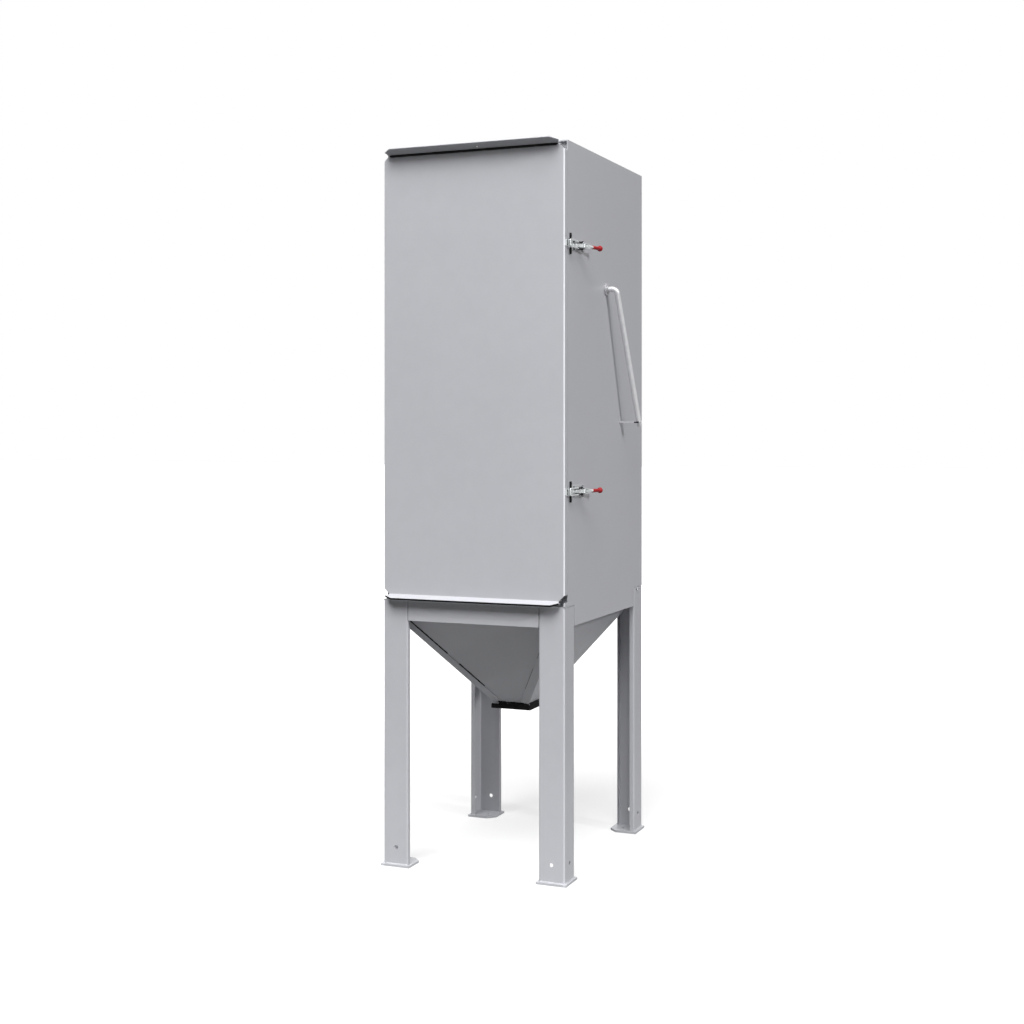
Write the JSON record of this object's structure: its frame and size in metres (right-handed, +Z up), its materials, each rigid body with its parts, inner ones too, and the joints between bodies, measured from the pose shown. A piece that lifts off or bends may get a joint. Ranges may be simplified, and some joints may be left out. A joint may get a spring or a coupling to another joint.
{
  "type": "baghouse dust collector",
  "caption": "Small free-standing baghouse dust collector: tall sheet steel cabinet with hinged door and toggle clamps, shaker lever, hopper below and folded legs with foot plates.",
  "frame": {"origin": "on the floor, at the middle of the four anchor holes", "axes": "+Z up, -Y towards the door side, +X towards the side with the clamps and the shaker lever"},
  "size_m": [0.7961, 0.997, 2.6038],
  "materials": {
    "grey_paint": "satin light grey paint",
    "zinc_sheet": "zinc coated sheet",
    "black_rubber": "matt black rubber",
    "filter_felt": "needle felt",
    "bright_steel": "bright zinc plate",
    "dark_steel": "blackened steel",
    "turned_steel": "drawn steel bar",
    "red_plastic": "glossy red"
  },
  "bodies": {
    "cabinet": {"left_wall": "grey_paint", "right_wall": "grey_paint", "back_wall": "grey_paint", "roof_panel": "grey_paint", "front_rail": "grey_paint", "base_ring": "grey_paint", "front_frame": "grey_paint", "frame_rim": "grey_paint", "leg_front_left": "grey_paint", "leg_front_right": "grey_paint", "leg_back_left": "grey_paint", "leg_back_right": "grey_paint", "foot_plates": "grey_paint", "hopper_front": "grey_paint", "hopper_back": "grey_paint", "hopper_left": "grey_paint", "hopper_right": "grey_paint", "hopper_strips": "grey_paint", "outlet_flange": "grey_paint", "tube_sheet": "zinc_sheet", "bag_thimbles": "zinc_sheet", "inlet_spigot": "zinc_sheet", "air_outlet": "zinc_sheet", "hanger_angles": "zinc_sheet", "hanger_bars": "zinc_sheet", "door_seal": "black_rubber", "outlet_gasket": "black_rubber", "filter_bags": "filter_felt", "clamp_brackets": "bright_steel", "hinge_lower": "dark_steel", "hinge_upper": "dark_steel", "lever_peg": "turned_steel", "lever_bush": "turned_steel", "shaft_bearing": "turned_steel"},
    "door": {"door_panel": "grey_paint", "door_stiffeners": "grey_paint", "door_keepers": "bright_steel"},
    "handle_upper": {"clamp_handle_upper": "bright_steel", "clamp_grip_upper": "red_plastic"},
    "handle_lower": {"clamp_handle_lower": "bright_steel", "clamp_grip_lower": "red_plastic"},
    "hook_upper": {"clamp_hook_upper": "bright_steel"},
    "hook_lower": {"clamp_hook_lower": "bright_steel"},
    "shaker": {"shaker_lever": "turned_steel", "shaker_shaft": "turned_steel"}
  },
  "joints": [
    {"name": "door_hinge", "type": "hinge", "parent": "cabinet", "child": "door", "pos_m": [-0.3395, -0.4125, 1.7875], "axis": [0, 0, -1], "range_deg": [0, 105]},
    {"name": "shaker_swing", "type": "hinge", "parent": "cabinet", "child": "shaker", "pos_m": [0.3525, 0, 2.111], "axis": [1, 0, 0], "range_deg": [0, 45]},
    {"name": "handle_upper_turn", "type": "hinge", "parent": "cabinet", "child": "handle_upper", "pos_m": [0.3745, -0.3005, 2.239], "axis": [0, 0, -1], "range_deg": [0, 105]},
    {"name": "hook_upper_turn", "type": "hinge", "parent": "handle_upper", "child": "hook_upper", "pos_m": [0.3665, -0.2875, 2.239], "axis": [0, 0, -1], "range_deg": [-105, 0]},
    {"name": "handle_lower_turn", "type": "hinge", "parent": "cabinet", "child": "handle_lower", "pos_m": [0.3745, -0.3005, 1.37], "axis": [0, 0, -1], "range_deg": [0, 105]},
    {"name": "hook_lower_turn", "type": "hinge", "parent": "handle_lower", "child": "hook_lower", "pos_m": [0.3665, -0.2875, 1.37], "axis": [0, 0, -1], "range_deg": [-105, 0]}
  ],
  "couplings": [
    {"joint": "hook_upper_turn", "follows": "handle_upper_turn", "ratio": -1},
    {"joint": "hook_lower_turn", "follows": "handle_lower_turn", "ratio": -1}
  ]
}
